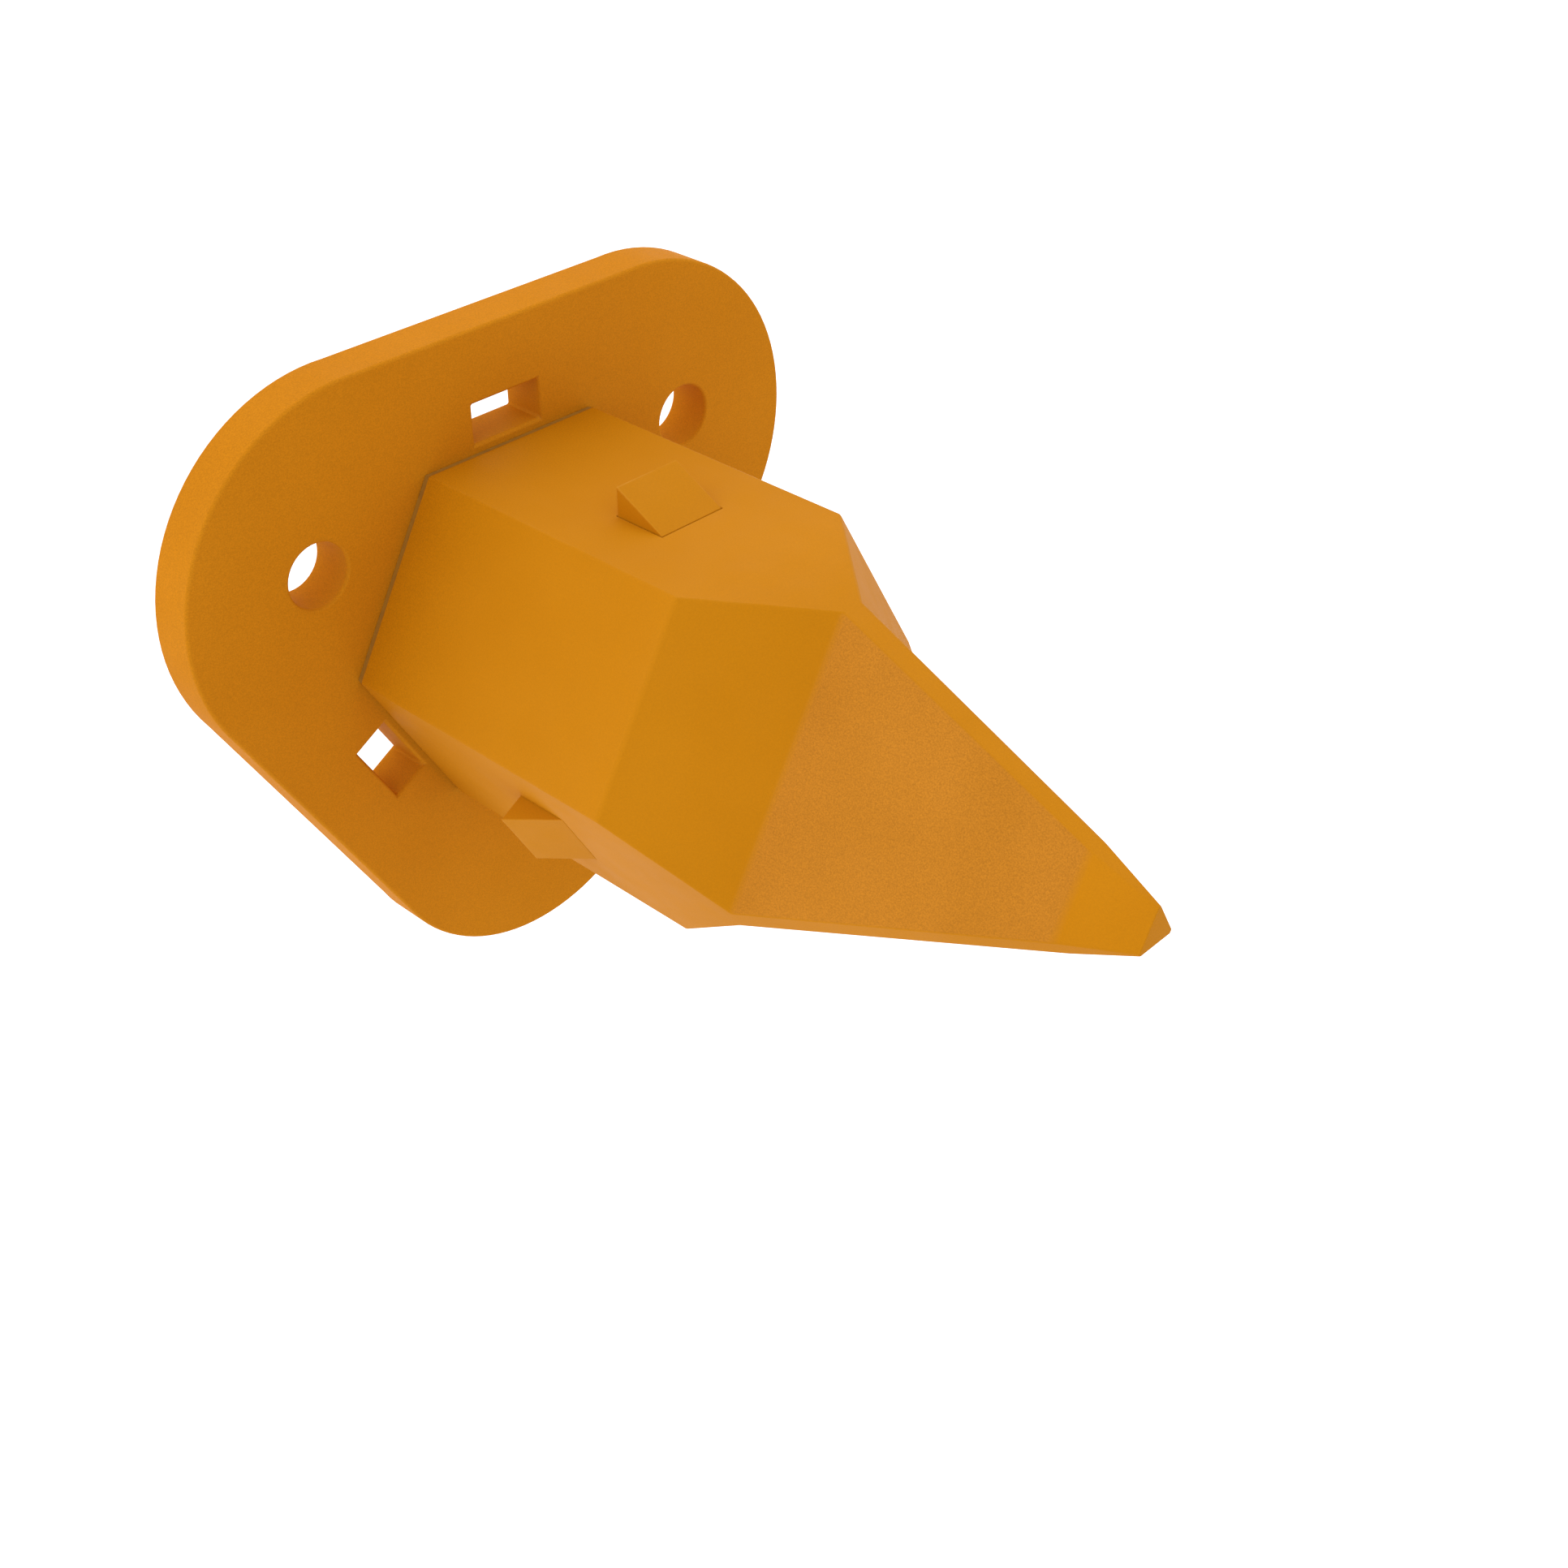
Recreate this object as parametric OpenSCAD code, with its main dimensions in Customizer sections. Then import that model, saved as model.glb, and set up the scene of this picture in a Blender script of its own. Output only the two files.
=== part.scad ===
// Three-sided bolt-on tooth point with its flanged adapter and snap latches.
// Millimetres. The origin is the centre of the flange's back face, and +Z runs
// along the tooth's axis to the tip. Three sides carry a latch (side A up at
// +Y, then every 120 degrees) and three sides face the flange's bolt holes.

/* [Flange] */
// Thickness of the mounting flange
flange_t = 12.7; // [10:0.1:20]
// Radius of each rounded lobe
lobe_r = 50.8; // [40:0.1:62]
// Distance from the axis to the centre of each lobe
lobe_dist = 51.7; // [42:0.1:62]
// Diameter of the bolt holes
bolt_hole_d = 16.5; // [11:0.5:22]
// Distance between the two upper bolt holes
bolt_pitch = 118.2; // [112:0.1:130]
// Height of the two upper bolt holes above the tooth's axis
bolt_rise = 31.4; // [26:0.1:38]
// Depth of the lower bolt hole below the tooth's axis
bolt_drop = 66.9; // [58:0.1:82]
// Width of each release tool slot
slot_w = 20.8; // [16:0.1:26]
// Height of each release tool slot, away from the axis
slot_h = 10.3; // [7:0.1:14]
// Land between the shank and a slot
slot_land = 1.9; // [1:0.1:4]

/* [Point outside] */
// Size of the six-sided shank across its flats
shank_af = 91.4; // [88:0.1:110]
// Length of the straight shank, from the flange
shank_len = 84.9; // [80:0.1:110]
// Length of the crown, where the three bolt sides slope in
crown_len = 27.3; // [22:0.1:40]
// Distance from the axis to a latch side at the top of the crown
crown_a = 43; // [41.5:0.1:45]
// Width of the ridge between two blade faces at the top of the crown
crown_ridge_w = 6.2; // [4:0.1:10]
// Length of the long blade faces
blade_len = 68; // [50:0.1:90]
// Distance from the axis to a blade face at its top
blade_b = 8.9; // [7:0.1:12]
// Width of the ridge at the top of the blade
blade_ridge_w = 4.9; // [3:0.1:6]
// Length of the blunt nib
nib_len = 16.7; // [10:0.1:24]
// Distance from the axis to the nib's flat end edges
nib_b = 3.6; // [2.5:0.1:5]
// Width of the ridge at the end of the nib
nib_ridge_w = 1; // [0.6:0.1:2]

/* [Point inside] */
// Wall of the point at its rim
rim_wall = 9.7; // [7:0.1:12]
// How much the socket narrows on each side from rim to crown
socket_draft = 1.5; // [0.5:0.1:3]
// Wall left between the socket's corner and the crown, along the axis
crown_floor = 6; // [4:0.1:10]
// Wall of the latch sides at the end of the socket
end_wall_a = 13; // [9:0.1:16]
// Wall of the bolt sides at the end of the socket
end_wall_b = 7.2; // [5:0.1:9]
// Clearance between the adapter nose and the socket, on each side
nose_gap = 0.4; // [0.2:0.05:0.8]

/* [Seal and thrust pad] */
// Thickness of the rim seal
seal_t = 1.6; // [0.6:0.1:2.5]
// How far the rim seal sits back from the shank's faces
seal_recess = 0.4; // [0.3:0.1:2]
// Height of the thrust pad that stands out of the nose
pad_stand = 3.4; // [2:0.1:5]
// Diameter of the thrust pad
pad_d = 22; // [16:0.5:26]

/* [Latches] */
// Width of a latch
latch_w = 19.1; // [15:0.1:23]
// Length of a latch along the axis
latch_len = 14.6; // [12:0.1:18]
// How far a latch stands out of the shank
latch_rise = 7.4; // [5:0.1:8.5]
// Distance from the flange to the latch's shoulder
latch_standoff = 48.7; // [44:0.1:58]
// How far a pressed latch sits below the shank's face
latch_sink = 0.4; // [0.2:0.1:1]
// Clearance around a latch
latch_gap = 0.2; // [0.15:0.05:0.5]
// Width of the latch's inner neck
neck_w = 12; // [9:0.1:12.5]
// Distance from the axis to the step at the neck
neck_r = 22; // [20:0.1:23]
// Distance from the axis to the latch's inmost edge
latch_inner_r = 12; // [11.8:0.1:13]
// Width of a latch wiper's lip
wiper_w = 3; // [2:0.1:4]
// Depth of a latch wiper
wiper_t = 2.8; // [2:0.1:4]
// Diameter of a keeper pin
keeper_d = 5; // [4:0.1:6]
// Distance from the axis to a keeper pin
keeper_r = 27; // [26.5:0.1:28]

/* [Lock plunger] */
// Diameter of the plunger
plunger_d = 36; // [30:0.1:37]
// Radial movement of a latch for each unit of plunger travel
cam_ratio = 0.5; // [0.45:0.01:0.6]
// Clearance around the plunger
plunger_gap = 0.3; // [0.2:0.05:0.5]
// Clearance between the plunger's cam faces and the latches
cam_gap = 0.1; // [0.05:0.05:0.2]
// Length of the plunger's round guide below its cam
plunger_guide = 25.4; // [20:0.1:28]
// Height of the plunger's cam
cam_h = 18.6; // [16:0.1:24]
// Mean diameter of the spring's coils
spring_d = 22.2; // [18:0.1:24]
// Diameter of the spring's wire
wire_d = 2.8; // [2:0.1:3.2]
// Number of turns of the spring
spring_turns = 5.5; // [4:0.5:6]
// Thickness of the spring plug
plug_t = 6.5; // [5:0.1:8]
// Width of the hexagon socket in the spring plug
plug_key_af = 8; // [6:0.5:10]
// Thickness of the circlip
circlip_t = 1.4; // [1:0.1:1.6]
// Width of the circlip's ring
circlip_w = 3; // [2:0.1:4]
// Gap between the circlip's two ends
circlip_split = 4; // [3:0.1:8]

/* [Fasteners] */
// Diameter of the nose screws
screw_d = 8; // [6:1:8]
// Diameter of the nose screws' low heads
screw_head_d = 13; // [11:0.1:13]
// Height of the nose screws' low heads
screw_head_h = 5; // [4:0.1:5.2]
// Width of the hexagon socket in a nose screw
key_af = 5; // [3:0.5:6]
// Depth of the hexagon socket in a nose screw
key_depth = 3; // [2:0.1:3.5]
// Distance from the axis to a nose screw
screw_r = 31.5; // [31:0.1:32]
// Thickness of a lock washer
washer_t = 1.2; // [1:0.1:1.5]
// Depth of a nose screw's thread in the nose
thread_len = 12; // [9:0.1:16]
// Diameter of the dowels
dowel_d = 8; // [6:0.5:8]
// Depth of a dowel in the flange
dowel_bite = 8; // [5:0.1:9]
// Distance from the axis to a dowel
dowel_r = 29; // [28:0.1:30]
// Outer diameter of the nose's spigot
spigot_d = 46; // [45:0.1:47]
// Depth of the spigot in the flange
spigot_h = 5; // [4:0.1:6]
// Clearance of pieces that are fitted together and don't move
fit_gap = 0.05; // [0.02:0.01:0.1]

/* [Wear pads] */
// Width of a wear pad
wear_w = 22; // [16:0.1:26]
// Length of a wear pad
wear_len = 30; // [24:0.1:34]
// Thickness of a wear pad
wear_t = 3; // [2:0.1:4]
// Distance from the flange to a wear pad
wear_standoff = 23.3; // [20:0.1:28]
// Diameter of a wear pad's screws
wear_screw_d = 4; // [3:0.5:5]
// Depth of a wear pad's screws in the nose
wear_screw_grip = 8; // [5:0.1:9]
// Width of the hexagon socket in a wear pad's screw
wear_key_af = 2.5; // [2:0.5:3]
// Distance between the two screws of a wear pad
wear_screw_pitch = 18; // [14:0.1:20]

/* [Hidden] */
$fn = 96;

paint = [0.80, 0.50, 0.12];
steel = [0.62, 0.63, 0.65];
dark_steel = [0.25, 0.25, 0.27];
bronze = [0.72, 0.53, 0.28];
black_rubber = [0.08, 0.08, 0.08];
urethane = [0.75, 0.20, 0.12];

// Directions of the sides, in degrees from +X
latch_az = [90, 210, 330];
bolt_az = [30, 150, 270];
corner_az = [0, 60, 120, 180, 240, 300];

// Centres of the bolt holes
bolt_places = [[bolt_pitch / 2, bolt_rise], [-bolt_pitch / 2, bolt_rise], [0, -bolt_drop]];

// Past every solid, for cuts that run right through
reach = 2 * shank_af;
over = 1;

// How far the flange's straight sides lie inside its lobes' rims
side_step = 0.06;

// Levels along the axis
rim_z = flange_t + seal_t;
shoulder_z = flange_t + shank_len;
crown_z = shoulder_z + crown_len;
blade_z = crown_z + blade_len;
tip_z = blade_z + nib_len;

// Distances from the axis to the faces of the point
shank_face = shank_af / 2;
ridge_to_b = sqrt(3) / 2;
crown_b = (crown_a + ridge_to_b * crown_ridge_w) / 2;
blade_a = 2 * blade_b - ridge_to_b * blade_ridge_w;
nib_a = 2 * nib_b - ridge_to_b * nib_ridge_w;

// The socket, and the nose that fills it
socket_rim = shank_face - rim_wall;
socket_top = socket_rim - socket_draft;
socket_shoulder_z = shoulder_z - crown_floor;
socket_end_drop = 1;
socket_end_z = crown_z - socket_end_drop;
socket_end_a = crown_a - end_wall_a;
socket_end_b = crown_b - end_wall_b;
nose_end_z = socket_end_z - pad_stand;
nose_back_z = flange_t - spigot_h;

// The latches
latch_z0 = flange_t + latch_standoff;
latch_z1 = latch_z0 + latch_len;
latch_travel = latch_rise + latch_sink;
latch_inner_low = latch_inner_r + cam_ratio * latch_len;
wiper_face = socket_at(latch_z1 + wiper_w) - nose_gap - latch_gap;
wiper_floor = wiper_face - wiper_t;

// The plunger and what is under it
plunger_travel = latch_travel / cam_ratio;
bore_r = plunger_d / 2 + plunger_gap;
cam_top_z = latch_z0 + cam_h;
cam_lead = 1;
plunger_bottom_z = latch_z0 - plunger_guide;
bore_run_out = 2;
bore_top_z = cam_top_z + bore_run_out;
plug_r = bore_r - fit_gap;
plunger_spare = 1;
plug_top_z = plunger_bottom_z - plunger_travel - plunger_spare;
plug_z = plug_top_z - plug_t;
circlip_groove = 1.3;
circlip_z = plug_z - circlip_t - fit_gap;
spring_play = 0.8;
spring_pocket_r = (spring_d + wire_d) / 2 + spring_play;
spring_crown_t = 7.4;
spring_top_z = latch_z0 - spring_crown_t;
spring_boss_r = (spring_d - wire_d) / 2 - spring_play;
spring_boss_h = 5.5;
ring_r = 1.3;
ring_groove_r = plug_r - 2 * ring_r + fit_gap;
ring_z = plug_z + plug_t / 2;

// Fasteners
head_gap = 0.6;
counterbore_r = screw_head_d / 2 + head_gap;
head_recess = 0.4;
counterbore_h = head_recess + screw_head_h + washer_t;
screw_gap = 0.3;
screw_clear_r = screw_d / 2 + screw_gap;
dowel_floor_z = flange_t - dowel_bite;
thread_z = flange_t + thread_len;
drill_end = 1.5;
keeper_bite = 6;
keeper_top_z = latch_z1 + keeper_bite;
keeper_rest = keeper_d / 2 + latch_gap;

// Wear pads
wear_z0 = flange_t + wear_standoff;
wear_z1 = wear_z0 + wear_len;
wear_face = socket_at(wear_z1) - nose_gap;
wear_floor = wear_face - wear_t;
csk_r = wear_screw_d;
csk_h = wear_screw_d / 2;
wear_key_depth = csk_h / 2;

// Distance from the axis to the straight part of the socket's sides at height z
function socket_at(z) =
    socket_rim - socket_draft * (z - rim_z) / (socket_shoulder_z - rim_z);

// Outline of one side in a plane through the axis: levels hold [z, a, b]
function side_outline(levels, column) = concat(
    [[-reach, levels[0][0]]],
    [for (level = levels) [level[column], level[0]]],
    [[-reach, levels[len(levels) - 1][0]]]
);

// An outline in a plane through the axis, given thickness across that plane
module across(az, width) {
    rotate([0, 0, az])
        rotate([90, 0, 0])
            translate([0, 0, -width / 2])
                linear_extrude(height = width) children();
}

// A box on a side: from r0 to r1 off the axis, z0 to z1 up, centred across
module side_box(az, r0, r1, width, z0, z1) {
    rotate([0, 0, az])
        translate([r0, -width / 2, z0])
            cube([r1 - r0, width, z1 - z0]);
}

// An upright cylinder at distance r in direction az
module post(az, r, radius, z0, z1) {
    rotate([0, 0, az])
        translate([r, 0, z0])
            cylinder(r = radius, h = z1 - z0);
}

// The six-sided solid whose sides stand at the distances in levels
module six_sided(levels) {
    intersection_for (side = [0 : 2]) {
        intersection() {
            across(latch_az[side], 2 * reach) polygon(side_outline(levels, 1));
            across(bolt_az[side], 2 * reach) polygon(side_outline(levels, 2));
        }
    }
}

module socket(gap, z_low, z_high) {
    six_sided([
        [z_low, socket_at(z_low) - gap, socket_at(z_low) - gap],
        [socket_shoulder_z, socket_top - gap, socket_top - gap],
        [z_high, socket_end_a - gap, socket_end_b - gap]
    ]);
}

module flange_outline() {
    side_r = lobe_r - side_step;
    for (az = bolt_az)
        rotate([0, 0, az]) translate([lobe_dist, 0]) circle(r = lobe_r);
    polygon([
        for (az = bolt_az, turn = [-60, 60])
            [
                lobe_dist * cos(az) + side_r * cos(az + turn),
                lobe_dist * sin(az) + side_r * sin(az + turn)
            ]
    ]);
}

module mounting_flange() {
    color(paint) difference() {
        linear_extrude(height = flange_t) flange_outline();
        for (place = bolt_places)
            translate([place[0], place[1], -over])
                cylinder(d = bolt_hole_d, h = flange_t + 2 * over);
        for (az = latch_az)
            side_box(az, shank_face + slot_land, shank_face + slot_land + slot_h, slot_w,
                -over, flange_t + over);
        translate([0, 0, nose_back_z]) cylinder(r = spigot_d / 2 + fit_gap, h = reach);
        for (az = corner_az) {
            post(az, screw_r, screw_clear_r, -over, flange_t + over);
            post(az, screw_r, counterbore_r, -over, counterbore_h);
        }
        for (az = bolt_az)
            post(az, dowel_r, dowel_d / 2 + fit_gap, dowel_floor_z, flange_t + over);
    }
}

module adapter_nose() {
    color(dark_steel) difference() {
        union() {
            socket(nose_gap, flange_t, nose_end_z);
            translate([0, 0, nose_back_z])
                cylinder(r = spigot_d / 2, h = spigot_h + over);
        }
        translate([0, 0, nose_back_z - over])
            cylinder(r = bore_r, h = bore_top_z - nose_back_z + over);
        translate([0, 0, circlip_z - fit_gap])
            cylinder(r = bore_r + circlip_groove, h = circlip_t + 2 * fit_gap);
        for (az = latch_az) {
            side_box(az, 0, reach, latch_w + 2 * latch_gap,
                latch_z0 - latch_gap, latch_z1 + latch_gap);
            side_box(az, wiper_floor, reach, latch_w + 2 * wiper_w,
                latch_z0 - wiper_w, latch_z1 + wiper_w);
            post(az, keeper_r, keeper_d / 2 + fit_gap, flange_t - over, keeper_top_z);
        }
        for (az = corner_az)
            post(az, screw_r, screw_d / 2 + fit_gap, flange_t - over, thread_z + drill_end);
        for (az = bolt_az) {
            post(az, dowel_r, dowel_d / 2 + fit_gap, flange_t - over, thread_z + drill_end);
            side_box(az, wear_floor, reach, wear_w + 2 * fit_gap,
                wear_z0 - fit_gap, wear_z1 + fit_gap);
            wear_screw_axes(az) cylinder(r = wear_screw_d / 2 + fit_gap, h = wear_screw_grip + over);
        }
        translate([0, 0, nose_end_z - pad_stand])
            cylinder(r = pad_d / 2 + fit_gap, h = reach);
    }
}

module nose_screws() {
    color(steel) for (az = corner_az) difference() {
        union() {
            post(az, screw_r, screw_head_d / 2, head_recess, head_recess + screw_head_h);
            post(az, screw_r, screw_d / 2, head_recess, thread_z);
        }
        rotate([0, 0, az]) translate([screw_r, 0, 0])
            cylinder(r = key_af / sqrt(3), h = head_recess + key_depth, $fn = 6);
    }
}

module lock_washers() {
    color(steel) for (az = corner_az) difference() {
        post(az, screw_r, screw_head_d / 2, counterbore_h - washer_t + fit_gap, counterbore_h);
        post(az, screw_r, screw_clear_r, 0, flange_t);
    }
}

module nose_dowels() {
    color(steel) for (az = bolt_az)
        post(az, dowel_r, dowel_d / 2, dowel_floor_z + fit_gap, thread_z);
}

module tooth_point() {
    color(paint) difference() {
        six_sided([
            [rim_z, shank_face, shank_face],
            [shoulder_z, shank_face, shank_face],
            [crown_z, crown_a, crown_b],
            [blade_z, blade_a, blade_b],
            [tip_z, nib_a, nib_b]
        ]);
        socket(0, rim_z - over, socket_end_z);
        for (az = latch_az)
            side_box(az, 0, reach, latch_w + 2 * latch_gap,
                latch_z0 - latch_gap, latch_z1 + latch_gap);
    }
}

module rim_seal() {
    outer = shank_face - seal_recess;
    inner = socket_rim + fit_gap;
    color(black_rubber) difference() {
        six_sided([[flange_t, outer, outer], [rim_z, outer, outer]]);
        six_sided([[flange_t - over, inner, inner], [rim_z + over, inner, inner]]);
    }
}

module thrust_pad() {
    color(urethane) translate([0, 0, nose_end_z - pad_stand + fit_gap])
        cylinder(r = pad_d / 2, h = 2 * pad_stand - 2 * fit_gap);
}

// A latch: shoulder towards the flange, ramp towards the tip, cam face inside
module latch(az) {
    slot_end = keeper_r + latch_travel;
    color(paint) difference() {
        across(az, latch_w) polygon([
            [latch_inner_low, latch_z0],
            [shank_face + latch_rise, latch_z0],
            [shank_face, latch_z1],
            [latch_inner_r, latch_z1]
        ]);
        for (side = [-1, 1])
            rotate([0, 0, az])
                translate([0, side * (neck_w + latch_w) / 2 - latch_w / 2, latch_z0 - over])
                    cube([neck_r, latch_w, latch_len + 2 * over]);
        side_box(az, keeper_r, slot_end, 2 * keeper_rest, latch_z0 - over, latch_z1 + over);
        post(az, keeper_r, keeper_rest, latch_z0 - over, latch_z1 + over);
        post(az, slot_end, keeper_rest, latch_z0 - over, latch_z1 + over);
    }
}

module latch_wiper(az) {
    color(black_rubber) difference() {
        side_box(az, wiper_floor + fit_gap, wiper_face, latch_w + 2 * wiper_w - 2 * fit_gap,
            latch_z0 - wiper_w + fit_gap, latch_z1 + wiper_w - fit_gap);
        side_box(az, wiper_floor - over, wiper_face + over, latch_w + 2 * latch_gap,
            latch_z0 - latch_gap, latch_z1 + latch_gap);
    }
}

module keeper_pin(az) {
    color(steel) post(az, keeper_r, keeper_d / 2, flange_t + fit_gap, keeper_top_z - fit_gap);
}

// Places children at a wear pad's two screws, pointing out, from their inner ends
module wear_screw_axes(az) {
    for (side = [-1, 1])
        rotate([0, 0, az])
            translate([wear_floor - wear_screw_grip, 0,
                (wear_z0 + wear_z1) / 2 + side * wear_screw_pitch / 2])
                rotate([0, 90, 0]) children();
}

module wear_screw(play) {
    length = wear_screw_grip + wear_t;
    cylinder(r = wear_screw_d / 2 + play, h = length);
    translate([0, 0, length - csk_h])
        cylinder(r1 = wear_screw_d / 2 + play, r2 = csk_r + play, h = csk_h);
}

module wear_pad(az) {
    color(bronze) difference() {
        side_box(az, wear_floor + fit_gap, wear_face, wear_w, wear_z0, wear_z1);
        wear_screw_axes(az) wear_screw(fit_gap);
    }
}

module wear_pad_screws() {
    color(steel) for (az = bolt_az) difference() {
        wear_screw_axes(az) wear_screw(0);
        wear_screw_axes(az) translate([0, 0, wear_screw_grip + wear_t - wear_key_depth])
            cylinder(r = wear_key_af / sqrt(3), h = wear_key_depth + over, $fn = 6);
    }
}

module lock_plunger() {
    cam_low_z = latch_z0 - cam_lead;
    cam_low_r = latch_inner_low - cam_gap + cam_ratio * cam_lead;
    cam_top_r = latch_inner_low - cam_gap - cam_ratio * cam_h;
    color(steel) difference() {
        translate([0, 0, plunger_bottom_z])
            cylinder(r = plunger_d / 2, h = cam_top_z - plunger_bottom_z);
        for (az = latch_az)
            across(az, reach) polygon([
                [cam_low_r, cam_low_z],
                [cam_top_r - cam_ratio * over, cam_top_z + over],
                [reach, cam_top_z + over],
                [reach, cam_low_z]
            ]);
        translate([0, 0, plunger_bottom_z - over])
            cylinder(r = spring_pocket_r, h = spring_top_z - plunger_bottom_z + over);
    }
}

// Centre line of the spring, as a point at turn t
function coil_point(t, z0, rise) = [
    spring_d / 2 * cos(360 * t),
    spring_d / 2 * sin(360 * t),
    z0 + rise * t
];

module plunger_spring() {
    sides = 8;
    steps_per_turn = 18;
    steps = round(spring_turns * steps_per_turn);
    low = plug_top_z + wire_d / 2 + fit_gap;
    high = spring_top_z - wire_d / 2 - fit_gap;
    rise = (high - low) / spring_turns;
    rings = [
        for (step = [0 : steps], side = [0 : sides - 1])
            let (
                turn = step / steps_per_turn,
                centre = coil_point(turn, low, rise),
                out = [cos(360 * turn), sin(360 * turn), 0],
                angle = 360 * side / sides
            )
            centre + wire_d / 2 * (cos(angle) * out + sin(angle) * [0, 0, 1])
    ];
    walls = [
        for (step = [0 : steps - 1], side = [0 : sides - 1])
            let (
                a = step * sides + side,
                b = step * sides + (side + 1) % sides
            )
            [a, a + sides, b + sides, b]
    ];
    first_end = [for (side = [0 : sides - 1]) side];
    last_end = [for (side = [0 : sides - 1]) steps * sides + sides - 1 - side];
    color(steel) polyhedron(points = rings, faces = concat(walls, [first_end, last_end]));
}

module spring_plug() {
    color(steel) difference() {
        union() {
            translate([0, 0, plug_z]) cylinder(r = plug_r, h = plug_t);
            translate([0, 0, plug_z]) cylinder(r = spring_boss_r, h = plug_t + spring_boss_h);
        }
        rotate_extrude() translate([ring_groove_r, ring_z - ring_r])
            square([2 * ring_r + over, 2 * ring_r]);
        translate([0, 0, plug_z - over])
            cylinder(r = plug_key_af / sqrt(3), h = plug_t / 2 + over, $fn = 6);
    }
}

module plug_o_ring() {
    color(black_rubber) rotate_extrude()
        translate([ring_groove_r + ring_r, ring_z]) circle(r = ring_r - fit_gap, $fn = 32);
}

module plug_circlip() {
    outer = bore_r + circlip_groove - fit_gap;
    color(steel) difference() {
        translate([0, 0, circlip_z]) cylinder(r = outer, h = circlip_t);
        translate([0, 0, circlip_z - over])
            cylinder(r = outer - circlip_w, h = circlip_t + 2 * over);
        translate([0, -circlip_split / 2, circlip_z - over])
            cube([reach, circlip_split, circlip_t + 2 * over]);
    }
}

mounting_flange();
adapter_nose();
nose_screws();
lock_washers();
nose_dowels();
tooth_point();
rim_seal();
thrust_pad();
latch(latch_az[0]);  // latch_1
latch(latch_az[1]);  // latch_2
latch(latch_az[2]);  // latch_3
latch_wiper(latch_az[0]);  // latch_wiper_1
latch_wiper(latch_az[1]);  // latch_wiper_2
latch_wiper(latch_az[2]);  // latch_wiper_3
keeper_pin(latch_az[0]);  // keeper_pin_1
keeper_pin(latch_az[1]);  // keeper_pin_2
keeper_pin(latch_az[2]);  // keeper_pin_3
wear_pad(bolt_az[0]);  // wear_pad_1
wear_pad(bolt_az[1]);  // wear_pad_2
wear_pad(bolt_az[2]);  // wear_pad_3
wear_pad_screws();
lock_plunger();
plunger_spring();
spring_plug();
plug_o_ring();
plug_circlip();
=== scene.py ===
"""Looks of the flanged bucket tooth: paint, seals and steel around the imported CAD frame."""

import math

import bpy
from mathutils import Euler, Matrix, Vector


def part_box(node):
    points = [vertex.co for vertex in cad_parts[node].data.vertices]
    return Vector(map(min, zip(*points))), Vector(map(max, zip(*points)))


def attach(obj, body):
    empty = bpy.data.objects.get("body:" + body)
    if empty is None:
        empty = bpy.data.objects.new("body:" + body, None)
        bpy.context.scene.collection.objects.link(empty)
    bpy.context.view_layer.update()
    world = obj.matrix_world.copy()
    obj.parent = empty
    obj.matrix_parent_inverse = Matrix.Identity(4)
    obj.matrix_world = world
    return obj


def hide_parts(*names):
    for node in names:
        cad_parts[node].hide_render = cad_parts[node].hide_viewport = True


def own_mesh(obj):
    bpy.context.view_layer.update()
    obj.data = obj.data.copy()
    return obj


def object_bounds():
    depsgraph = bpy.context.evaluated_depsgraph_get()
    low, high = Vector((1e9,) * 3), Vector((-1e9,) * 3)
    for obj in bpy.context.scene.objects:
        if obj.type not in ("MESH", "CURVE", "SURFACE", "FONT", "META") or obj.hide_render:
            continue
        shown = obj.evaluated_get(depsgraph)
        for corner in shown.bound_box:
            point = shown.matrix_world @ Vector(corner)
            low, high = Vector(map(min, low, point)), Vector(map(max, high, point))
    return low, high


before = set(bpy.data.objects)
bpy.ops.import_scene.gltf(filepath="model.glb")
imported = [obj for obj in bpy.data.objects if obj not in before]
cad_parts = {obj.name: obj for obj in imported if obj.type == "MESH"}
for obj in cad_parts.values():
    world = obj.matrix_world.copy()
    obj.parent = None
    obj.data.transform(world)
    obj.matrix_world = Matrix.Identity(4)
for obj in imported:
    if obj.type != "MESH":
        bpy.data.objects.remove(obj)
cad_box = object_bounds()

MM = 0.001

# ---------------------------------------------------------------- camera

# A lens of about 50 mm, 0.57 m from the flange's centre, that looks past the tip at the flange.
CAMERA_AT = (-0.30399, 0.27793, 0.39037)
CAMERA_TURN = (-0.609158, -0.816553, -0.000261)  # radians
LENS_MM = 49.5635
SENSOR_MM = 36.0
NEAREST = 0.01
FARTHEST = 50.0


def make_camera():
    data = bpy.data.cameras.new("camera")
    data.lens = LENS_MM
    data.sensor_width = SENSOR_MM
    data.sensor_fit = "HORIZONTAL"
    data.clip_start = NEAREST
    data.clip_end = FARTHEST
    camera = bpy.data.objects.new("camera", data)
    camera.location = CAMERA_AT
    camera.rotation_euler = Euler(CAMERA_TURN, "XYZ")
    bpy.context.scene.collection.objects.link(camera)
    bpy.context.scene.camera = camera


# ---------------------------------------------------------------- light and floor

WHITE = (1.0, 1.0, 1.0)
STUDIO_STRENGTH = 1.0
FLOOR_GREY = (0.2, 0.2, 0.2)
FLOOR_GLOW = 1.3
FLOOR_HALF = 6.0
FLOOR_DROP_MM = 0.02


def make_studio():
    """White light from every side."""
    world = bpy.data.worlds.new("studio")
    world.use_nodes = True
    background = world.node_tree.nodes["Background"]
    background.inputs["Color"].default_value = (*WHITE, 1.0)
    background.inputs["Strength"].default_value = STUDIO_STRENGTH
    bpy.context.scene.world = world


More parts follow.
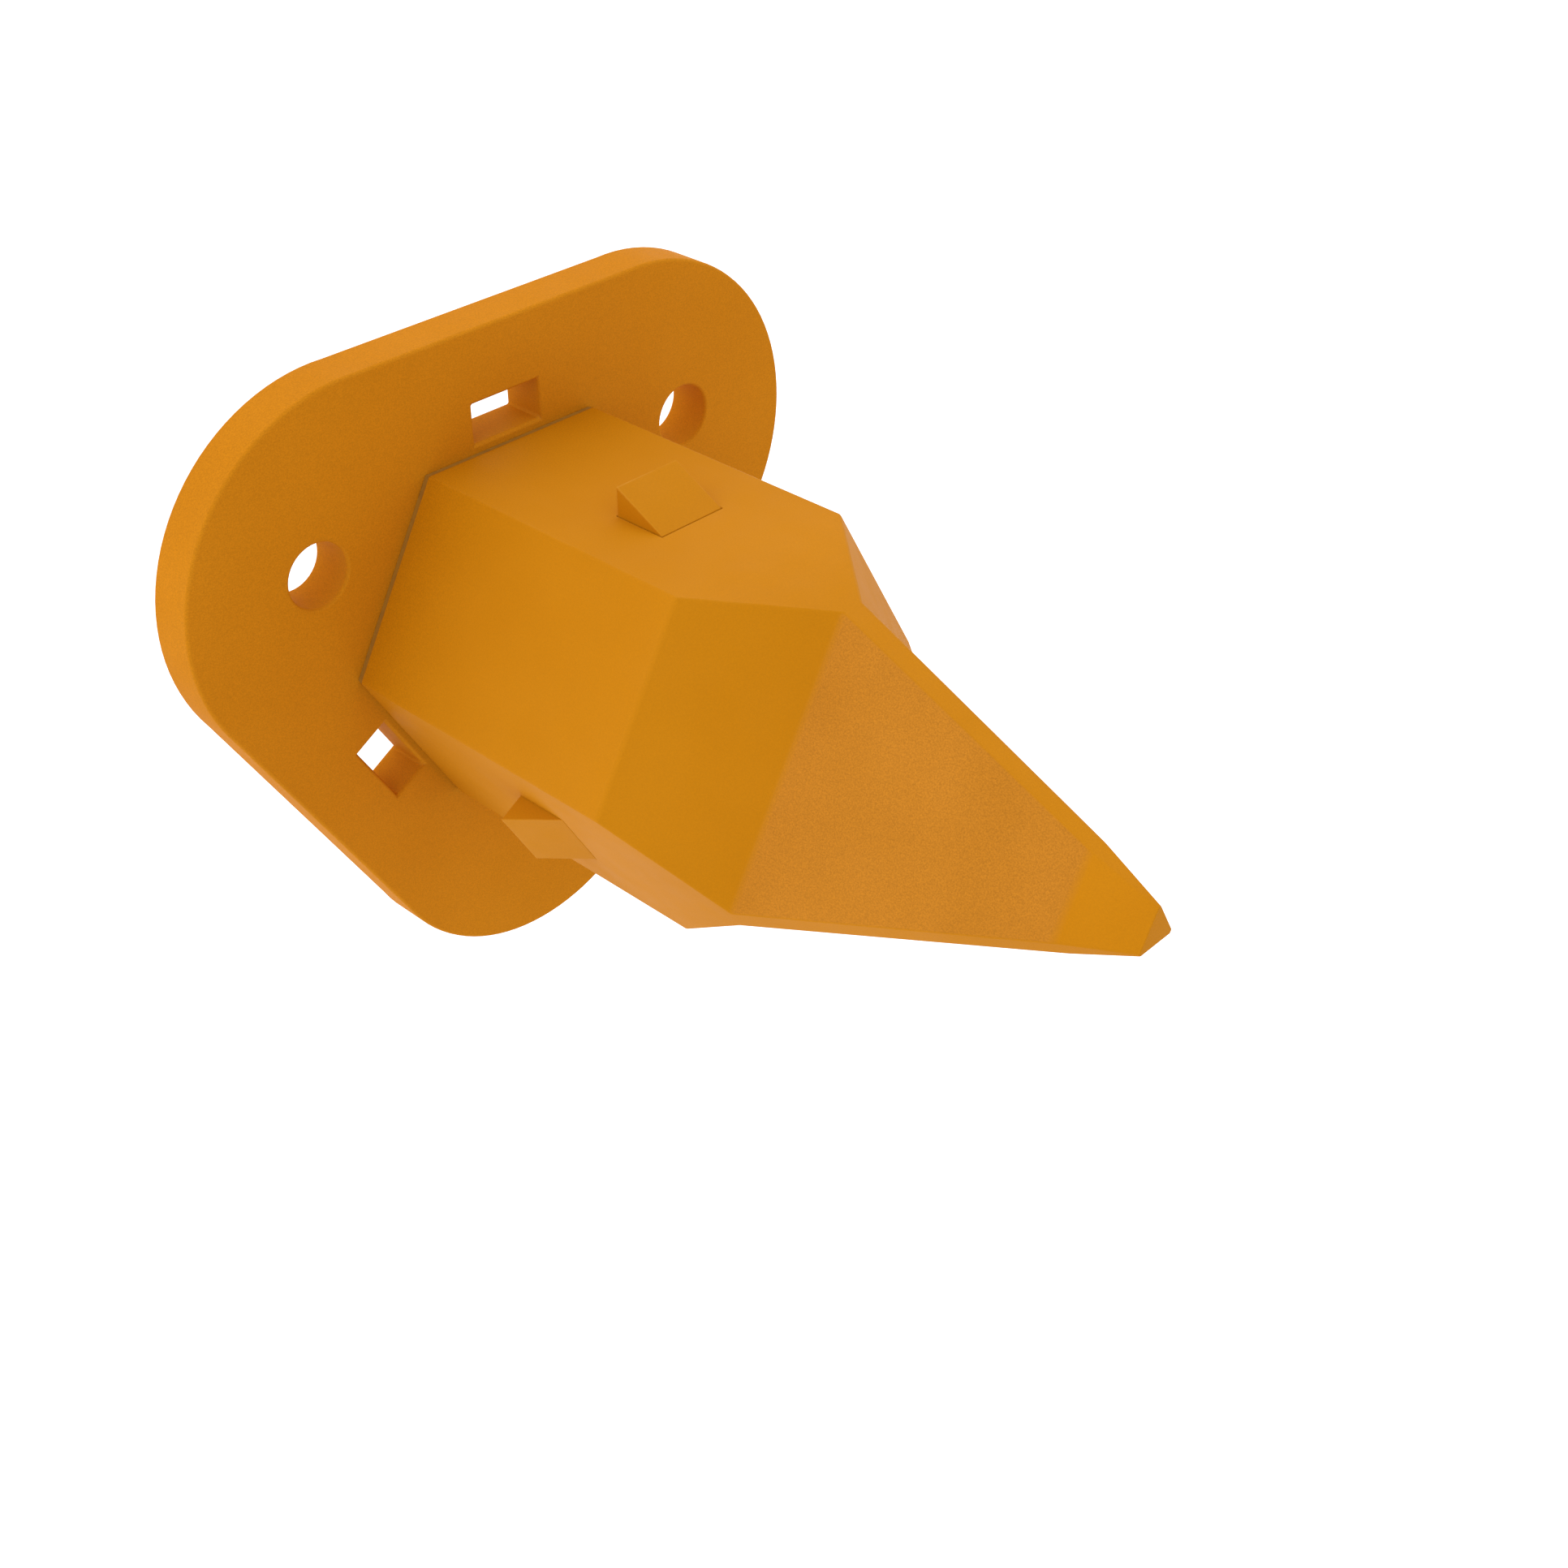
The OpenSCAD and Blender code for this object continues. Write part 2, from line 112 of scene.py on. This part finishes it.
def make_floor():
    """A flat table that glows like a light box, so that it stays as pale as the studio round it."""
    mesh = bpy.data.meshes.new("floor")
    z = cad_box[0][2] - FLOOR_DROP_MM * MM
    signs = ((-1, -1), (1, -1), (1, 1), (-1, 1))
    mesh.from_pydata([(x * FLOOR_HALF, y * FLOOR_HALF, z) for x, y in signs], [], [(0, 1, 2, 3)])
    floor = bpy.data.objects.new("floor", mesh)
    material = bpy.data.materials.new("light_table")
    material.use_nodes = True
    shader = material.node_tree.nodes["Principled BSDF"]
    shader.inputs["Base Color"].default_value = (*FLOOR_GREY, 1.0)
    shader.inputs["Roughness"].default_value = 1.0
    shader.inputs["Specular IOR Level"].default_value = 0.0
    shader.inputs["Emission Color"].default_value = (*WHITE, 1.0)
    shader.inputs["Emission Strength"].default_value = FLOOR_GLOW
    mesh.materials.append(material)
    bpy.context.scene.collection.objects.link(floor)


# ---------------------------------------------------------------- node trees


def feed(tree, socket, value):
    """Gives a socket a number, a colour, or the wire from another node's output."""
    if isinstance(value, (int, float)):
        socket.default_value = value
    elif isinstance(value, tuple):
        socket.default_value = (*value, 1.0)
    else:
        tree.links.new(value, socket)


def maths_node(tree, operation, first, second):
    """The output of a maths node that works on two numbers or wires."""
    node = tree.nodes.new("ShaderNodeMath")
    node.operation = operation
    feed(tree, node.inputs[0], first)
    feed(tree, node.inputs[1], second)
    return node.outputs[0]


class Graph:
    """A material's node tree, with short ways to add nodes and wires."""

    def __init__(self, name):
        self.material = bpy.data.materials.new(name)
        self.material.use_nodes = True
        self.tree = self.material.node_tree
        self.shader = self.tree.nodes["Principled BSDF"]

    def add(self, kind, **settings):
        node = self.tree.nodes.new(kind)
        for key, value in settings.items():
            setattr(node, key, value)
        return node

    def wire(self, source, target):
        self.tree.links.new(source, target)

    def maths(self, operation, first, second):
        return maths_node(self.tree, operation, first, second)

    def place(self):
        """Points of the surface in metres, in the object's own frame."""
        return self.add("ShaderNodeTexCoord").outputs["Object"]

    def height(self):
        """How far the surface is above the flange's back face, in metres."""
        split = self.add("ShaderNodeSeparateXYZ")
        self.wire(self.place(), split.inputs[0])
        return split.outputs["Z"]

    def noise(self, size_mm, detail=2.0, roughness=0.5):
        """Cloudy noise whose blotches are about size_mm across."""
        noise = self.add("ShaderNodeTexNoise")
        noise.inputs["Scale"].default_value = 1.0 / (size_mm * MM)
        noise.inputs["Detail"].default_value = detail
        noise.inputs["Roughness"].default_value = roughness
        self.wire(self.place(), noise.inputs["Vector"])
        return noise.outputs["Fac"]

    def spread(self, value, low, high, to_low=0.0, to_high=1.0):
        """value from low..high to to_low..to_high, held at both ends."""
        ranges = self.add("ShaderNodeMapRange")
        ranges.inputs["From Min"].default_value = low
        ranges.inputs["From Max"].default_value = high
        ranges.inputs["To Min"].default_value = to_low
        ranges.inputs["To Max"].default_value = to_high
        self.wire(value, ranges.inputs["Value"])
        return ranges.outputs["Result"]

    def blend(self, amount, first, second):
        """Colour first, going over to second as amount goes from 0 to 1."""
        mix = self.add("ShaderNodeMix", data_type="RGBA")
        factor, colour_a, colour_b = mix.inputs[0], mix.inputs[6], mix.inputs[7]
        feed(self.tree, factor, amount)
        feed(self.tree, colour_a, first)
        feed(self.tree, colour_b, second)
        return mix.outputs[2]

    def edges(self, radius_mm, low, high):
        """0 on flat stretches, rising to 1 along edges and corners."""
        rounded = self.add("ShaderNodeBevel", samples=8)
        rounded.inputs["Radius"].default_value = radius_mm * MM
        geometry = self.add("ShaderNodeNewGeometry")
        dot = self.add("ShaderNodeVectorMath", operation="DOT_PRODUCT")
        self.wire(rounded.outputs["Normal"], dot.inputs[0])
        self.wire(geometry.outputs["True Normal"], dot.inputs[1])
        return self.spread(self.maths("SUBTRACT", 1.0, dot.outputs["Value"]), low, high)

    def height_between(self, low_z, high_z, soft_mm):
        """1 where the surface lies between two heights, with soft ends."""
        z = self.height()
        soft = soft_mm * MM
        above = self.spread(z, low_z - soft, low_z + soft)
        below = self.spread(z, high_z - soft, high_z + soft, to_low=1.0, to_high=0.0)
        return self.maths("MULTIPLY", above, below)

    def facing(self, azimuths, low, high):
        """1 where the surface looks in one of the directions, in degrees from +X.

        low and high are the cosines between which it goes from 0 to 1.
        """
        geometry = self.add("ShaderNodeNewGeometry")
        total = 0.0
        for azimuth in azimuths:
            turn = math.radians(azimuth)
            dot = self.add("ShaderNodeVectorMath", operation="DOT_PRODUCT")
            dot.inputs[1].default_value = (math.cos(turn), math.sin(turn), 0.0)
            self.wire(geometry.outputs["True Normal"], dot.inputs[0])
            total = self.maths("ADD", total, self.spread(dot.outputs["Value"], low, high))
        return total

    def bump(self, height, depth_mm, strength, under=None):
        bump = self.add("ShaderNodeBump")
        bump.inputs["Distance"].default_value = depth_mm * MM
        bump.inputs["Strength"].default_value = strength
        self.wire(height, bump.inputs["Height"])
        if under is not None:
            self.wire(under, bump.inputs["Normal"])
        return bump.outputs["Normal"]

    def finish(self, colour, roughness, normal, **fixed):
        """Wires up the shader, whose fixed inputs are named with _ for each space."""
        for name, value in fixed.items():
            self.shader.inputs[name.replace("_", " ")].default_value = value
        self.wire(colour, self.shader.inputs["Base Color"])
        self.wire(roughness, self.shader.inputs["Roughness"])
        self.wire(normal, self.shader.inputs["Normal"])
        return self.material


# ---------------------------------------------------------------- materials

BODY = (0.555, 0.205, 0.002)
DEEP = (0.53, 0.193, 0.001)
FLANGE = (0.576, 0.207, 0.007)
FLANGE_DEEP = (0.552, 0.195, 0.006)
# Paler, greyer tones for the three blade faces
BLADE_PALE = (0.535, 0.2, 0.015)
BLADE_PALE_DEEP = (0.5, 0.184, 0.012)
# Lighter paint along edges: partly rubbed wear, partly a painted edge highlight
WORN_AND_HIGHLIGHT = (0.72, 0.33, 0.06)
WORN_AND_HIGHLIGHT_MOST = 0.45

# How far the sandy grain lightens and darkens the paint
SAND_SHADE = 0.14

# The foot of the point, where dirt gathers, and the blade between its crown and its nib
FOOT_MM = 45.0
CROWN_TO_TIP_MM = 84.7
NIB_MM = 16.7
FLANGE_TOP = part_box("mounting_flange")[1][2]
FOOT = (FLANGE_TOP, FLANGE_TOP + FOOT_MM * MM)
BLADE = (cad_box[1][2] - CROWN_TO_TIP_MM * MM, cad_box[1][2] - NIB_MM * MM)
BLADE_AZIMUTHS = (30, 150, 270)


def orange_paint(name, gloss, tones=(BODY, DEEP), grain=0.3, foot=None, blade=None):
    """Satin orange paint: cloudy tone, sandy grain, edges lightened partly by rubbed paint and partly
    by a painted highlight, orange peel.

    foot and blade are pairs of heights. The grain gets full at the bottom of foot, and on the
    three blade faces, which are painted a paler, greyer tone.
    """
    g = Graph(name)
    colour = g.blend(g.spread(g.noise(size_mm=38.0, detail=3.0), low=0.35, high=0.65), *tones)
    if foot is not None:
        grain = g.maths("MAXIMUM", g.spread(g.height(), *foot, to_low=1.0, to_high=0.0), grain)
    if blade is not None:
        # The three blade faces between the blade's heights get a paler, greyer tone and full grain
        faces = g.facing(BLADE_AZIMUTHS, low=0.8, high=0.9)
        pale_faces = g.maths("MULTIPLY", faces, g.height_between(*blade, soft_mm=1.2))
        pale_blade = g.blend(g.spread(g.noise(size_mm=30.0), low=0.35, high=0.65), BLADE_PALE, BLADE_PALE_DEEP)
        colour = g.blend(pale_faces, colour, pale_blade)
        grain = g.maths("MAXIMUM", pale_faces, grain)

    speckle = g.noise(size_mm=0.36, roughness=0.6)
    sand = g.spread(speckle, low=0.32, high=0.68, to_low=-SAND_SHADE, to_high=SAND_SHADE)
    toned = g.add("ShaderNodeHueSaturation")
    g.wire(g.maths("ADD", g.maths("MULTIPLY", sand, grain), 1.0), toned.inputs["Value"])
    g.wire(colour, toned.inputs["Color"])

    # Edges lightened in patches: partly rubbed paint, partly a painted highlight along the ridges
    patches = g.spread(g.noise(size_mm=6.0, detail=4.0), low=0.35, high=0.7)
    rubbed_and_lit_edges = g.maths("MULTIPLY", g.edges(radius_mm=0.8, low=0.01, high=0.14), patches)
    colour = g.blend(g.maths("MULTIPLY", rubbed_and_lit_edges, WORN_AND_HIGHLIGHT_MOST), toned.outputs["Color"], WORN_AND_HIGHLIGHT)
    smudges = g.noise(size_mm=9.0, detail=4.0)
    roughness = g.spread(smudges, low=0.3, high=0.7, to_low=0.62, to_high=0.7)
    peel = g.bump(g.noise(size_mm=1.6, detail=1.0), depth_mm=0.02, strength=0.35)
    fine = g.noise(size_mm=0.35, detail=1.0)
    normal = g.bump(fine, depth_mm=0.006, strength=0.35, under=peel)
    return g.finish(colour, roughness, normal, Specular_IOR_Level=gloss)


def rubber(name, tone, dust):
    """Matt moulded rubber with a little dust on it."""
    g = Graph(name)
    colour = g.blend(g.spread(g.noise(size_mm=2.5, detail=4.0), low=0.45, high=0.75), tone, dust)
    roughness = g.spread(g.noise(size_mm=1.2), low=0.3, high=0.7, to_low=0.62, to_high=0.8)
    normal = g.bump(g.noise(size_mm=0.3), depth_mm=0.01, strength=0.4)
    return g.finish(colour, roughness, normal)


def bare_metal(name, tone, stain, polished, dull):
    """Machined metal with faint stains, whose roughness goes from polished to dull."""
    g = Graph(name)
    colour = g.blend(g.spread(g.noise(size_mm=5.0, detail=4.0), low=0.4, high=0.75), tone, stain)
    blotches = g.noise(size_mm=1.5, detail=3.0)
    roughness = g.spread(blotches, low=0.3, high=0.7, to_low=polished, to_high=dull)
    normal = g.bump(g.noise(size_mm=0.25, detail=1.0), depth_mm=0.004, strength=0.3)
    return g.finish(colour, roughness, normal, Metallic=1.0)


# ---------------------------------------------------------------- rounded edges

SHARP_DEGREES = 20
FLAT_DEGREES = 0.2
WELD_MM = 0.03
ROUNDING_SEGMENTS = 3


def shading_group(name, bands):
    """Shades faces smooth and marks how far each sharp edge is rounded.

    The mark is 1 on edges sharper than SHARP_DEGREES. Each band (low z, high z, share) lowers it
    to that share on the edges whose middle lies between the two heights.
    """
    group = bpy.data.node_groups.new(name, "GeometryNodeTree")
    group.interface.new_socket("Geometry", in_out="INPUT", socket_type="NodeSocketGeometry")
    group.interface.new_socket("Geometry", in_out="OUTPUT", socket_type="NodeSocketGeometry")
    add = group.nodes.new
    wire = group.links.new

    split = add("ShaderNodeSeparateXYZ")
    wire(add("GeometryNodeInputPosition").outputs[0], split.inputs[0])
    z = split.outputs["Z"]
    angle = add("GeometryNodeInputMeshEdgeAngle").outputs["Unsigned Angle"]
    mark = maths_node(group, "GREATER_THAN", angle, math.radians(SHARP_DEGREES))
    for low, high, share in bands:
        above = maths_node(group, "GREATER_THAN", z, low)
        below = maths_node(group, "LESS_THAN", z, high)
        inside = maths_node(group, "MULTIPLY", above, below)
        taken = maths_node(group, "MULTIPLY", inside, 1.0 - share)
        mark = maths_node(group, "MULTIPLY", mark, maths_node(group, "SUBTRACT", 1.0, taken))

    geometry = add("NodeGroupInput").outputs[0]
    for stored in ("custom_normal", "sharp_edge"):
        forget = add("GeometryNodeRemoveAttribute")
        forget.inputs["Name"].default_value = stored
        wire(geometry, forget.inputs["Geometry"])
        geometry = forget.outputs["Geometry"]
    smooth = add("GeometryNodeSetShadeSmooth")
    wire(geometry, smooth.inputs["Geometry"])
    store = add("GeometryNodeStoreNamedAttribute")
    store.data_type = "FLOAT"
    store.domain = "EDGE"
    store.inputs["Name"].default_value = "bevel_weight_edge"
    wire(smooth.outputs["Geometry"], store.inputs["Geometry"])
    wire(mark, store.inputs["Value"])
    wire(store.outputs["Geometry"], add("NodeGroupOutput").inputs[0])
    return group


def round_edges(piece, width_mm, bands):
    """Real rounded edges on a CAD node, as modifiers: joins its triangles, then bevels sharp edges."""
    weld = piece.modifiers.new("weld", "WELD")
    weld.merge_threshold = WELD_MM * MM
    flat = piece.modifiers.new("flat_faces", "DECIMATE")
    flat.decimate_type = "DISSOLVE"
    flat.angle_limit = math.radians(FLAT_DEGREES)
    shade = piece.modifiers.new("shade_smooth", "NODES")
    shade.node_group = shading_group(piece.name + "_edges", bands)
    bevel = piece.modifiers.new("rounded_edges", "BEVEL")
    bevel.width = width_mm * MM
    bevel.segments = ROUNDING_SEGMENTS
    bevel.limit_method = "WEIGHT"
    bevel.use_clamp_overlap = False
    bevel.harden_normals = True


# ---------------------------------------------------------------- coil spring

WIRE_MM = 2.8
SPRING_TURNS = 5.5
STEPS_PER_TURN = 48
WIRE_SIDES = 20


def coil_spring(name, low, high):
    """A coil of round wire with cut ends that fills the box from low to high, about the Z axis."""
    wire_r = WIRE_MM * MM / 2
    coil_r = (high[0] - low[0]) / 2 - wire_r
    first_z = low[2] + wire_r
    rise = (high[2] - low[2] - 2 * wire_r) / SPRING_TURNS
    steps = round(SPRING_TURNS * STEPS_PER_TURN)
    points = []
    for step in range(steps + 1):
        turn = step / STEPS_PER_TURN
        out = Vector((math.cos(math.tau * turn), math.sin(math.tau * turn), 0.0))
        centre = coil_r * out + Vector((0.0, 0.0, first_z + rise * turn))
        for side in range(WIRE_SIDES):
            angle = math.tau * side / WIRE_SIDES
            across = math.cos(angle) * out + Vector((0.0, 0.0, math.sin(angle)))
            points.append(centre + wire_r * across)
    walls = []
    for step in range(steps):
        for side in range(WIRE_SIDES):
            here = step * WIRE_SIDES + side
            beside = step * WIRE_SIDES + (side + 1) % WIRE_SIDES
            walls.append((here, here + WIRE_SIDES, beside + WIRE_SIDES, beside))
    first_end = tuple(range(WIRE_SIDES))
    last_end = tuple(reversed(range(steps * WIRE_SIDES, (steps + 1) * WIRE_SIDES)))
    mesh = bpy.data.meshes.new(name)
    mesh.from_pydata(points, [], walls + [first_end, last_end])
    for face in mesh.polygons[:len(walls)]:
        face.use_smooth = True
    piece = bpy.data.objects.new(name, mesh)
    bpy.context.scene.collection.objects.link(piece)
    return piece


def make_plunger_spring(material):
    """The spring between plug and plunger, a coil of round wire that stands in for the CAD node."""
    low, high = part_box("plunger_spring")
    spring = coil_spring("lock_spring", low, high)
    spring.data.materials.append(material)
    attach(spring, "adapter_and_point")
    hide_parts("plunger_spring")
    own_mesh(spring)


# ---------------------------------------------------------------- the object

# Both tables name a node in full or without its number, and "" stands for all the others.
LOOKS = {
    "mounting_flange": orange_paint(
        "flange_paint", gloss=0.025, tones=(FLANGE, FLANGE_DEEP), grain=0.8),
    "tooth_point": orange_paint("point_paint", gloss=0.08, foot=FOOT, blade=BLADE),
    "latch": orange_paint("latch_paint", gloss=0.09),
    # The seal is darker than the paint: partly its own rubber colour, partly painted shade for the
    # seam between point and flange
    "rim_seal": rubber("seal_rubber", tone=(0.37, 0.17, 0.008), dust=(0.31, 0.14, 0.01)),
    "latch_wiper": rubber("wiper_rubber", tone=(0.03, 0.028, 0.025), dust=(0.07, 0.06, 0.05)),
    "adapter_nose": bare_metal(
        "nose_steel", tone=(0.12, 0.12, 0.125), stain=(0.07, 0.06, 0.05), polished=0.35, dull=0.5),
    "wear_pad": bare_metal(
        "bronze", tone=(0.5, 0.3, 0.12), stain=(0.3, 0.17, 0.06), polished=0.25, dull=0.45),
    "thrust_pad": rubber("urethane", tone=(0.42, 0.06, 0.02), dust=(0.3, 0.05, 0.02)),
    "plug_o_ring": rubber("ring_rubber", tone=(0.02, 0.02, 0.02), dust=(0.05, 0.05, 0.05)),
    "": bare_metal(
        "plated_steel", tone=(0.56, 0.56, 0.57), stain=(0.38, 0.36, 0.33), polished=0.25, dull=0.45),
}
ROUNDING_MM = {"mounting_flange": 0.9, "tooth_point": 0.8, "latch": 0.2, "rim_seal": 0.1, "": None}

# The point's rounding is finer at its rim, around the latch windows and on the nib.
RIM_SHARE = 0.3
WINDOW_SHARE = 0.25
NIB_SHARE = 0.35


def point_bands():
    """The point's finer bands, each 1 mm past what it covers: low z, high z, share of rounding."""
    point_low, point_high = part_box("tooth_point")
    latch_low, latch_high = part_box("latch_1")
    return (
        (point_low[2] - MM, point_low[2] + MM, RIM_SHARE),
        (latch_low[2] - MM, latch_high[2] + MM, WINDOW_SHARE),
        (BLADE[1] - MM, point_high[2] + MM, NIB_SHARE),
    )


def for_node(table, node):
    """The table's value for a node, by its full name, its name without a number, or ""."""
    stem = node.rstrip("0123456789").rstrip("_")
    return table.get(node, table.get(stem, table[""]))


def dress(name, piece):
    """Gives a CAD node its material and its rounded edges."""
    if not piece.material_slots:
        piece.data.materials.append(None)
    for place in piece.material_slots:
        place.material = for_node(LOOKS, name)
    width_mm = for_node(ROUNDING_MM, name)
    if width_mm is not None:
        round_edges(piece, width_mm, point_bands() if name == "tooth_point" else ())


make_camera()
make_studio()
make_floor()
bpy.context.scene.view_settings.view_transform = "Standard"
for name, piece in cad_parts.items():
    dress(name, piece)
make_plunger_spring(for_node(LOOKS, "plunger_spring"))
